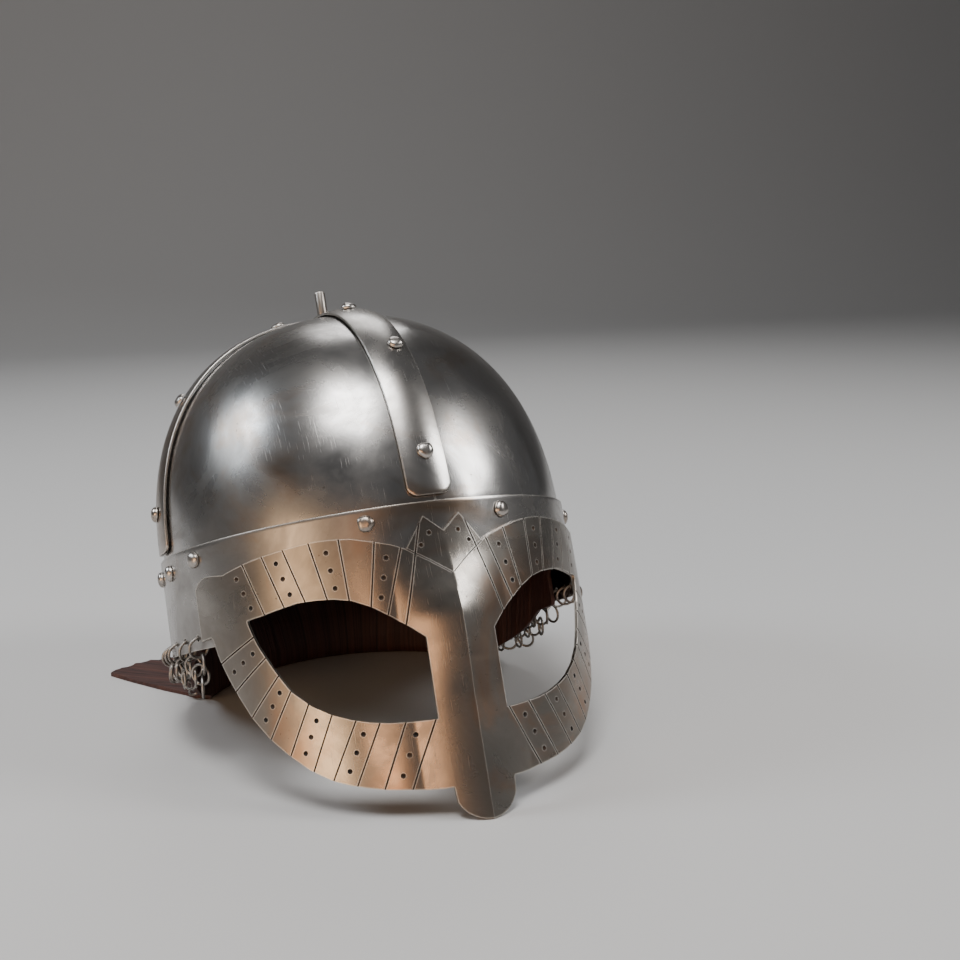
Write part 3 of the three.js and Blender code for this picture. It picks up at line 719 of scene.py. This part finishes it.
seats = {}
for i, (front, aside, left, right) in enumerate(ARM, 1):
    seats[f"rivet_front_{i}"] = (
        lambda a, b, x=STRIP_SHIFT + aside, l=front: long_strip_point(x + a, l + b, STRIP_TOP))
    seats[f"rivet_back_{i}"] = (
        lambda a, b, l=180 - front: long_strip_point(STRIP_SHIFT + a, l + b, STRIP_TOP))
    seats[f"rivet_left_{i}"] = lambda a, b, l=left: side_strip_point(1, a, l + b, STRIP_TOP)
    seats[f"rivet_right_{i}"] = lambda a, b, l=right: side_strip_point(-1, a, l + b, STRIP_TOP)
for i, (turn_in, down_by) in enumerate(BAND_ROW, 1):
    x, y = math.sin(math.radians(turn_in)), math.cos(math.radians(turn_in))
    for name, middle, x_side, y_side in QUARTERS:
        t = math.degrees(math.atan2(x_side * x, -y_side * y))
        seats[f"rivet_band_{name}_{i}"] = (
            lambda a, b, t=t, d=down_by: plan_point(t + a, BAND_OUTER, b - d))
print("rivets:", len(seats))

# %% [markdown]
# A head is a turned dome. Hammering leaves no two alike, so slow waves round each head push it
# out of true, each with its own random start.

# %% Rivet heads
curve = np.linspace(0, np.pi / 2, 9)[:-1]
head_radius = np.concatenate([[RIVET_RADIUS], RIVET_RADIUS * np.cos(curve) ** 0.8])
head_height = np.concatenate([[0], RIVET_HEIGHT * (0.12 + 0.88 * np.sin(curve) ** 1.1)])
rng = np.random.default_rng(4)
heads = []
for name, seat in seats.items():
    origin = seat(0.0, 0.0)
    x, y = seat(1.0, 0.0) - origin, seat(0.0, 1.0) - origin
    x, y = x / np.linalg.norm(x), y / np.linalg.norm(y)
    z = np.cross(x, y)
    z *= np.sign(z @ origin) / np.linalg.norm(z)
    y = np.cross(z, x)
    p, f = lathe(head_radius, head_height, 28)
    turned = np.arctan2(p[:, 1], p[:, 0])
    lump = 1 + 0.035 * np.sin(3 * turned + rng.uniform(0, 6))
    lump += 0.02 * np.sin(5 * turned + rng.uniform(0, 6))
    p[:, :2] *= lump[:, None] * 0.96
    p[:, 2] *= 1 + 0.07 * np.sin(p[:, 0] * 0.9 + rng.uniform(0, 6))
    heads.append((resting(origin + z * GAP + p @ np.stack([x, y, z])), f))
p, f = gather(heads)
rivets = new_object("rivets", p, f, 50)
tidy_mesh(rivets, 50)
finish_piece(rivets, RIVET_STEEL, list(seats))

# %% [markdown]
# The mask is one sheet bent round the face: two arches, two crossing tabs, two tongues at the
# temples and a ridged nose guard. Its points are given as the distance around from the nose and
# the drop below the band's edge, and a list of shares draws each outline.

# %% Outline of the mask
MASK_SPAN, MASK_DROP, NOSE_DROP = 127.5, 124.0, 139.5
NOSE_HALF_WIDTH, NOSE_TIP_RADIUS = 14.0, 15.0
NOSE_RIDGE, NOSE_RIDGE_HALF_WIDTH = 7.0, 26.0
TAB_NOTCH_DROP, TAB_TIP_DROP, TAB_TIP_OUT, TAB_ROOT_OUT = 14.1, 6.7, 8.6, 18.3
EYE_INNER, EYE_WIDTH, EYE_TOP_DROP, EYE_HEIGHT = 16.4, 79.5, 35.9, 58.8
# Shares of the mask's span around, and of its drop
MASK_AROUND = (0.1, 0.144, 0.188, 0.243, 0.327, 0.396, 0.447, 0.504, 0.58, 0.66,
               0.723, 0.789, 0.839, 0.878, 0.91, 0.932, 0.951, 0.976, 1)
MASK_TOP = (0.178, 0.164, 0.142, 0.124, 0.099, 0.09, 0.087, 0.089, 0.095, 0.103,
            0.112, 0.125, 0.136, 0.131, 0.127, 0.126, 0.131, 0.142, 0.165)
MASK_BOTTOM = (1.0, 0.999, 0.995, 0.986, 0.972, 0.954, 0.938, 0.915, 0.869, 0.801,
               0.74, 0.657, 0.573, 0.5, 0.431, 0.357, 0.336, 0.315, 0.293)
# Shares of an eye: of its width out from the nose, and of its height
EYE_OUT = (0, 0.07, 0.16, 0.26, 0.36, 0.46, 0.56, 0.67, 0.78, 0.86, 0.91, 0.95, 0.98, 1)
EYE_TOP = (0.4, 0.31, 0.214, 0.12, 0.053, 0.019, 0.005, 0, 0.02, 0.036, 0.046, 0.051, 0.055,
           0.058)
EYE_BOTTOM = (1, 0.997, 0.988, 0.973, 0.946, 0.905, 0.85, 0.762, 0.632, 0.47, 0.355, 0.26, 0.165,
              0.08)
# Shares of the nose's drop, and of the ridge's height there
RIDGE_DOWN = (0.1, 0.18, 0.29, 0.36, 0.46, 0.61, 1)
RIDGE_FORWARD = (0, 0.15, 0.75, 1, 1, 0.8, 0.75)


def mask_top(around):
    """Drop of the upper edge: straight sides of the tabs near the nose, then the arches' shares."""
    out = np.abs(around)
    root = MASK_DROP * np.interp(TAB_ROOT_OUT / MASK_SPAN, MASK_AROUND, MASK_TOP)
    tab = np.interp(out, (0, TAB_TIP_OUT, TAB_ROOT_OUT), (TAB_NOTCH_DROP, TAB_TIP_DROP, root))
    arch = MASK_DROP * np.interp(out / MASK_SPAN, MASK_AROUND, MASK_TOP)
    return np.where(out < TAB_ROOT_OUT, tab, arch)


def mask_bottom(around):
    """Drop of the lower edge: a part circle at the tip of the nose, then the cheeks' shares."""
    out = np.abs(around)
    inside = np.minimum(out, NOSE_TIP_RADIUS - 0.1)
    tip = NOSE_DROP - NOSE_TIP_RADIUS + np.sqrt(NOSE_TIP_RADIUS**2 - inside**2)
    cheek = MASK_DROP * np.interp(out / MASK_SPAN, MASK_AROUND, MASK_BOTTOM)
    return np.where(out < NOSE_HALF_WIDTH, tip, cheek)


def eye_edge(around, shares):
    """Drop of an eye's edge: its shares of the eye's height, out from the nose."""
    out = (np.abs(around) - EYE_INNER) / EYE_WIDTH
    return EYE_TOP_DROP + EYE_HEIGHT * np.interp(out, EYE_OUT, shares)


def face_point(around, drop, offset):
    """A point of the mask: around the plan, down from the band's edge, the ridge pushed forward."""
    turn = np.sign(around) * np.interp(np.abs(around), WALK, WALK_TURN)
    p = plan_point(turn, offset, -np.asarray(drop, float))
    facet = np.maximum(0, 1 - np.abs(around) / NOSE_RIDGE_HALF_WIDTH)
    p[..., 1] -= NOSE_RIDGE * facet * np.interp(drop / NOSE_DROP, RIDGE_DOWN, RIDGE_FORWARD)
    return p


# %% [markdown]
# The sheet is one grid with three belts of rows: above the eyes, beside them and below. The
# middle belt is left out where an eye is, and shell closes the wall round each opening.

# %% Mask sheet
ROWS = (15, 12, 15)
EYE_OUTER = EYE_INNER + EYE_WIDTH
CORNER_STEP, LEAST_RIM = 0.3, 0.4
half = np.unique(np.concatenate([
    np.linspace(0, TAB_TIP_OUT, 9), np.linspace(TAB_TIP_OUT, NOSE_HALF_WIDTH - CORNER_STEP, 6),
    [NOSE_HALF_WIDTH + CORNER_STEP, EYE_INNER, TAB_ROOT_OUT],
    np.linspace(19.5, EYE_OUTER, 78), np.linspace(EYE_OUTER, MASK_SPAN, 30)]).round(4))
around = np.concatenate([-half[:0:-1], half])[:, None]
top, bottom = mask_top(around), mask_bottom(around)
eye_top, eye_bottom = eye_edge(around, EYE_TOP), eye_edge(around, EYE_BOTTOM)
past = np.maximum(0, np.abs(around) - EYE_INNER - EYE_WIDTH)
eye_top, eye_bottom = eye_top - 0.1 * past, np.maximum(eye_bottom, eye_top) + 0.1 * past
bottom = np.maximum(bottom, eye_bottom + LEAST_RIM)
levels = (top, eye_top, eye_bottom, bottom)
belts = [upper + np.linspace(0, 1, n, endpoint=False)[None, :] * (lower - upper)
         for upper, lower, n in zip(levels, levels[1:], ROWS)]
drop = np.concatenate([*belts, bottom], 1)
faces_of_sheet = [resting(face_point(around + 0 * drop, drop, offset + 0 * drop))
                  for offset in (MASK_INNER + MASK_WALL, MASK_INNER)]
middle = np.abs((around[1:, 0] + around[:-1, 0]) / 2)
eye_column = (middle > EYE_INNER) & (middle < EYE_OUTER)
keep = np.ones((len(around) - 1, drop.shape[1] - 1), bool)
keep[np.ix_(eye_column, np.arange(ROWS[0], ROWS[0] + ROWS[1]))] = False
mask = shell("mask_plate", *faces_of_sheet, keep, smooth=20)
soften(mask, 0.35, 2, 55)
print("mask grid:", drop.shape, "with", int((~keep).sum()), "quads left out")

# %% [markdown]
# The smith chased straight lines over the arches and cheeks and punched three dots in every
# second field. Lines and dots are thin bars and cones laid on the sheet and cut out of it, so
# that they are real grooves with dark scale at the bottom.

# %% Tools for the chasing
# Distance around at the upper and the lower end of each line, above the eye and below it
ARCH_LINES = ((107, 95.9), (94.5, 86.1), (83.8, 75.9), (73, 65.7), (60.6, 55.6),
              (47, 46.1), (31.6, 37.1), (20.5, 30.4), (11, 23.5))
LOWER_LINES = ((93.7, 114.9), (88.7, 108), (83.4, 100.5), (78.4, 91.7), (70.8, 82.8),
               (61, 72.8), (50.9, 64.4), (40.8, 54.3), (29.9, 42.9), (17.5, 31.2))
# Around and drop of the fine line over the nose, and of the dots in a tab
CROSSING = ((0.7, 33.1), (8.8, 26.8), (18.3, 20.3))
TAB_DOTS = ((7.0, 14.5), (11.5, 19.5))
DOT_SHARES = (0.2, 0.5, 0.8)
FACE = MASK_INNER + MASK_WALL


def line_tool(a, b, wide=1.25, deep=0.6):
    """A thin bar along the mask from point a to point b, each (around, drop)."""
    t = np.linspace(-0.01, 1.01, 13)[:, None]
    a, b = np.asarray(a, float), np.asarray(b, float)
    along = (b - a) / np.linalg.norm(b - a)
    cross = np.array([-along[1], along[0]]) * wide / 2
    line = a + t * (b - a)
    # Four corners of the section: shares of the half width, and the height over the face
    corners = ((-0.35, -deep), (0.35, -deep), (1, 1.2), (-1, 1.2))
    points = np.stack([face_point(line[:, 0] + c * cross[0], line[:, 1] + c * cross[1], FACE + h)
                       for c, h in corners], 1).reshape(-1, 3)
    last = 4 * len(t) - 4
    faces = [[i + j, i + (j + 1) % 4, i + 4 + (j + 1) % 4, i + 4 + j]
             for i in range(0, last, 4) for j in range(4)]
    return resting(points), faces + [[3, 2, 1, 0], [last, last + 1, last + 2, last + 3]]


def dot_tool(place, radius=1.15, deep=0.75):
    """A small cone punched square to the mask."""
    s, z = place
    steps = ((0, 0), (1, 0), (0, 1))
    o, x, y = (face_point(np.array(s + i), np.array(z + j), FACE) for i, j in steps)
    x, y = (x - o) / np.linalg.norm(x - o), (y - o) / np.linalg.norm(y - o)
    out = np.cross(y, x)
    out = out / np.linalg.norm(out)
    out *= -np.sign(out[1]) if abs(out[1]) > 0.2 else np.sign(out[0] * o[0])
    p, f = lathe((0.35, radius, radius * 1.9), (-deep, 0.0, 1.0), 12)
    return resting(o + p @ np.stack([x, y, out])), f


def chase(side, pairs, upper_edge, lower_edge, first):
    """Lines between two edges, from the first on, and dots down the middle of every other field."""
    ends = [(np.array((side * a, float(upper_edge(np.array(a))))),
             np.array((side * b, float(lower_edge(np.array(b)))))) for a, b in pairs]
    cuts = [line_tool(a, b) for a, b in ends[first:]]
    for (a, b), (c, d) in list(zip(ends, ends[1:]))[::2]:
        cuts += [dot_tool((a + c) / 2 * (1 - t) + (b + d) / 2 * t) for t in DOT_SHARES]
    return cuts


# %% [markdown]
# Both halves of the face carry the same lines. Over the nose the tabs cross: a finer line
# marks where one lies over the other, and each tab has two dots.

# %% Chasing
cuts = []
for side in (1, -1):
    cuts += chase(side, ARCH_LINES, mask_top, lambda a: eye_edge(a, EYE_TOP), 1)
    cuts += chase(side, LOWER_LINES, lambda a: eye_edge(a, EYE_BOTTOM), mask_bottom, 0)
    crossing = [(side * s, z) for s, z in CROSSING]
    cuts += [line_tool(a, b, 0.8, 0.45) for a, b in zip(crossing, crossing[1:])]
    cuts += [dot_tool((side * s, z), 1.0) for s, z in TAB_DOTS]
p, f = gather(cuts)
tool = new_object("tool", p, f)
tidy_mesh(tool)
mask.data.materials.append(MASK_STEEL)
tool.data.materials.append(GRIME)
carve(mask, tool, 20)
finish_piece(mask, None, ["mask"])

# %% [markdown]
# The neck guard hangs inside the band, falls, bends in a short fold and spreads out over the
# surface. A sheet's path is one function of the distance walked down it, so that the leather
# and the mail can follow the same way.

# %% Hanging path
FOLD_RADIUS = 5.0


def outward(turn):
    """Outward level direction of the resting helmet at a turn."""
    along = resting(plan_point(turn + 1, 0)) - resting(plan_point(turn - 1, 0))
    out = xyz(along[..., 1], -along[..., 0], 0)
    return out / np.linalg.norm(out, axis=-1, keepdims=True)


def hang(start, out, distance, bed):
    """A sheet's path: straight down, round a quarter fold, and level."""
    fall = start[..., 2] - bed
    radius = np.clip(fall, GAP, FOLD_RADIUS)
    straight = fall - radius
    bent = (distance - straight) / radius
    turned = np.clip(bent, 0, np.pi / 2)
    beyond = np.maximum(0, bent - np.pi / 2) * radius
    p = start + out * (radius * (1 - np.cos(turned)) + beyond)[..., None]
    level = np.where(bent < 0, start[..., 2] - distance, bed + radius * (1 - np.sin(turned)))
    p[..., 2] = level
    normal = out * np.cos(turned)[..., None]
    normal[..., 2] += np.sin(turned)
    return p, normal


# %% [markdown]
# The guard reaches far out behind the wearer's right and left and less at the middle, and towards
# the ears it only hangs. Lists of shares over the angle from the back say how far it falls and
# reaches. Low waves make its face uneven, and its rim a little ragged.

# %% Neck leather
LEATHER_WALL, LEATHER_INSET, LEATHER_TOP_DROP = 2.0, 6.0, 16.0
LEATHER_TOP_INSET, LEATHER_BEND_DROP, LEATHER_REACH, LEATHER_SPREAD = 0.7, 34.0, 67.0, 100
# Degrees from the back, share of the fall, share of the reach
LEATHER_BACK = (0, 20, 30, 38, 43, 45, 47, 49, 51, 53, 56, 64, 72, 80, 88, 100)
LEATHER_FALL = (1, 1, 1, 1, 1, 1, 1, 1, 1, 1, 0.85, 0.7, 0.5, 0.3, 0.08, 0.05)
LEATHER_OUT = (0.6, 0.64, 0.76, 0.95, 1, 1, 0.7, 0.42, 0.15, 0, 0, 0, 0, 0, 0, 0)

back = np.linspace(-LEATHER_SPREAD, LEATHER_SPREAD, 321)[:, None]
turn = 180 + back[:, 0]
inset, bed = -LEATHER_INSET - LEATHER_WALL / 2, LEATHER_WALL / 2
start = resting(plan_point(turn, inset, -BAND_DROP))[:, None, :]
fall_share = np.interp(np.abs(back), LEATHER_BACK, LEATHER_FALL)
reach = LEATHER_REACH * np.interp(np.abs(back), LEATHER_BACK, LEATHER_OUT)
fall = start[..., 2] - bed
whole = fall - FOLD_RADIUS + FOLD_RADIUS * np.pi / 2 + BAND_OUTER - inset - FOLD_RADIUS + reach
length = np.where(fall_share > 0.999, whole, fall * fall_share)
ragged = 1 + 0.006 * np.sin(back * 0.9) + 0.004 * np.sin(back * 2.3 + 1)
v = np.linspace(0, 1, 61)[None, :]
distance = v * length * np.where(reach > 0, ragged, 1)
spread_out = 0 * v[..., None]
sheet, normal = hang(start + spread_out, outward(turn)[:, None] + spread_out, distance, bed)
upright = np.clip(1 - normal[..., 2], 0, 1)
ripple = 0.28 * np.sin(back * 1.9 + 3 * v) + 0.18 * np.sin(back * 4.1 + 1)

inside = np.linspace(0, 1, 16)[None, :, None]
layers = []
for through in (0.5, -0.5):
    half_wall = through * LEATHER_WALL
    high_inset = -LEATHER_TOP_INSET - LEATHER_WALL / 2
    high = resting(plan_point(turn, high_inset + half_wall, -LEATHER_TOP_DROP))
    low = resting(plan_point(turn, inset + half_wall, -LEATHER_BEND_DROP))
    hidden = high[:, None] + (low - high)[:, None] * inside
    spread = sheet + normal * half_wall
    if through > 0:
        spread = spread + normal * np.maximum(ripple * (1 - upright), -0.2)[..., None]
    layers.append(np.concatenate([hidden, spread], 1))
leather = shell("neck_guard", *layers, smooth=60)
soften(leather, 0.5, 2, 50)

# %% [markdown]
# The flow map runs round the helmet one way and outwards the other, measured after the bend is
# made, so the fibres point away from the rim all over the hide.

# %% Fibre direction
FLOW_WIDTH, FLOW_FALL = 0.11, 0.6
mesh = leather.data
flow = mesh.uv_layers.new(name="flow")
co = np.empty(len(mesh.vertices) * 3)
mesh.vertices.foreach_get("co", co)
co = co.reshape(-1, 3) / MM
angle = np.arctan2(co[:, 0], co[:, 1] - CENTRE_BACK)
radial = np.hypot(co[:, 0], co[:, 1] - CENTRE_BACK) - FLOW_FALL * co[:, 2]
loops = np.empty(len(mesh.loops), int)
mesh.loops.foreach_get("vertex_index", loops)
uv = np.stack([angle[loops] * FLOW_WIDTH, radial[loops] * MM], -1)
flow.data.foreach_set("uv", uv.astype(np.float32).ravel())
finish_piece(leather, LEATHER, ["neck_leather"])

# %% [markdown]
# The first row of rings goes through the band's holes. The rows below link into one another,
# each ring leaning the other way from the row above. What is left of the mail is longest round
# the nape and by the wearer's right temple, and short between them.

# %% Mail
RING_RADIUS, RING_WIRE, ROW_STEP = 4.8, 0.7, 5.4
MAIL_WALL, MAIL_LENGTH, MAIL_ROWS, MAIL_SLACK = 3.0, 19.0, 3, 1.5
RING_LEAN, LOWEST_RING = 0.42, 0.4
# Degrees from the back, right positive, and the share of the length there
MAIL_BACK = (-110, -90, -82, -74, 50, 62, 90, 98, 110)
MAIL_SHARE = (0.16, 0.2, 0.55, 1, 1, 0.35, 0.3, 0.7, 0.8)


def ring(centre, x, y, z, around=20, section=8):
    """A round link: x and y lie in its plane and z across it."""
    a = np.linspace(0, 2 * np.pi, around, endpoint=False)[:, None]
    b = np.linspace(0, 2 * np.pi, section, endpoint=False)[None, :]
    r = RING_RADIUS + RING_WIRE * np.cos(b)
    q = xyz(r * np.cos(a), r * np.sin(a), RING_WIRE * np.sin(b) + 0 * a)
    p = centre + q.reshape(-1, 3) @ np.stack([x, y, z])
    index = np.arange(around * section).reshape(around, section)
    i, j = np.roll(index, -1, 0), np.roll(index, -1, 1)
    k = np.roll(i, -1, 1)
    return p, np.stack([index, i, k, j], -1).reshape(-1, 4).tolist()


def unit(v):
    """The same direction, one long."""
    return v / np.linalg.norm(v)


rng = np.random.default_rng(11)
plumb = np.array([0, 0, -1.0])
links = []
for t in RING_TURNS:
    x = unit(outward(np.array(t)) + rng.normal(0, 0.12, 3))
    y = unit(plumb - (plumb @ x) * x)
    hole = resting(ring_hole(np.array(t)))
    links.append(ring(hole + y * (RING_RADIUS - 0.3), x, y, np.cross(x, y)))
print("hooked rings:", len(links))

# %% [markdown]
# Below the hooks the rings follow the same hanging path as the leather and lie on top of it,
# two for each hole.

# %% Linked rows
MAIL_BED = LEATHER_WALL + GAP + MAIL_WALL / 2
turns = np.linspace(180 - RING_SPREAD, 180 + RING_SPREAD, 2 * RING_COUNT - 1)
for row in range(1, MAIL_ROWS + 1):
    for i, t in enumerate(turns):
        room = MAIL_LENGTH * np.interp(t - 180, MAIL_BACK, MAIL_SHARE)
        if ROW_STEP * row > room + MAIL_SLACK:
            continue
        out = outward(np.array(t))
        begin = resting(ring_hole(np.array(t))) + plumb * (2 * RING_RADIUS - RING_WIRE)
        place, face = hang(begin, out, np.array(ROW_STEP * row - MAIL_SLACK), MAIL_BED)
        lower, _ = hang(begin, out, np.array(ROW_STEP * row - MAIL_SLACK + 1), MAIL_BED)
        along = unit(lower - place)
        aside = np.cross(face, along)
        lean = (RING_LEAN if (i + row) % 2 else -RING_LEAN) + rng.normal(0, 0.1)
        x = unit(math.cos(lean) * aside + math.sin(lean) * face)
        z = unit(np.cross(x, along))
        links.append(ring(place + rng.normal(0, 0.25, 3) + (0, 0, 0.3), x, along, z))
p, f = gather(links)
p[:, 2] = np.maximum(p[:, 2], LOWEST_RING)
mail = new_object("mail", p, f, 60)
finish_piece(mail, MAIL_STEEL, ["mail_curtain"])
print("rings in all:", len(links))

# %% [markdown]
# A pale plain floor that curves up behind, as a paper sweep in a studio does.

# %% Floor
FLOOR_SIDE, SWEEP_AT, SWEEP_RADIUS, WALL_TOP = 9.0, 2.2, 1.5, 7
floor_mat, _, bsdf = new_material("floor")
bsdf.inputs["Base Color"].default_value = (0.55, 0.545, 0.54, 1)
bsdf.inputs["Roughness"].default_value = 0.85
run = np.linspace(0, np.pi / 2, 17)
sweep = np.stack([SWEEP_AT + SWEEP_RADIUS * np.sin(run), SWEEP_RADIUS * (1 - np.cos(run))], -1)
profile = np.concatenate([[[-FLOOR_SIDE, 0]], sweep, [[SWEEP_AT + SWEEP_RADIUS, WALL_TOP]]])
count = len(profile)
points = np.concatenate([np.concatenate([np.full((count, 1), x), profile], 1)
                         for x in (-FLOOR_SIDE, FLOOR_SIDE)])
faces = [[i, i + 1, i + 1 + count, i + count] for i in range(count - 1)]
floor = new_object("floor", points / MM, faces, 60)
floor.data.flip_normals()
floor.data.materials.append(floor_mat)
print("floor:", count, "points deep")

# %% [markdown]
# Polished metal shows what stands round it, so each lamp is placed where the skull or the mask
# mirrors it to the camera: a broad key above, one cool from the left, two warm ones low down for
# the cheek and the nose guard, and a rim light behind.

# %% Light
WORLD_COLOUR, WORLD_STRENGTH = (0.78, 0.79, 0.81, 1), 0.13
SKULL, FACE_HEIGHT, CROWN = (0, 0, 0.12), (0, 0, 0.08), (0, 0, 0.15)
# Name, place, aim, size, power and colour
LAMPS = (
    ("key", (-0.35, -0.45, 1.85), SKULL, 0.75, 26, (1, 1, 1)),
    ("front", (1.35, -0.75, 1.2), SKULL, 0.65, 15, (1, 1, 1)),
    ("left", (-1.35, 0.6, 1.15), SKULL, 0.55, 13, (0.84, 0.92, 1)),
    ("warm", (-1.5, -0.85, 0.28), FACE_HEIGHT, 0.8, 10, (1, 0.66, 0.38)),
    ("low", (-0.85, -1.5, 0.5), FACE_HEIGHT, 0.4, 2.6, (1, 0.54, 0.28)),
    ("rim", (0.5, 1.4, 1.5), CROWN, 0.8, 7, (1, 1, 1)),
)
world = bpy.data.worlds.new("world")
bpy.context.scene.world = world
world.use_nodes = True
world.node_tree.nodes["Background"].inputs["Color"].default_value = WORLD_COLOUR
world.node_tree.nodes["Background"].inputs["Strength"].default_value = WORLD_STRENGTH
for name, place, target, size, power, colour in LAMPS:
    light = bpy.data.lights.new(name, "AREA")
    light.shape, light.size, light.energy, light.color = "SQUARE", size, power, colour
    lamp = bpy.data.objects.new(name, light)
    bpy.context.collection.objects.link(lamp)
    lamp.location = place
    lamp.rotation_mode = "QUATERNION"
    lamp.rotation_quaternion = (Vector(target) - Vector(place)).to_track_quat("-Z", "Y")
print("lamps:", len(LAMPS))
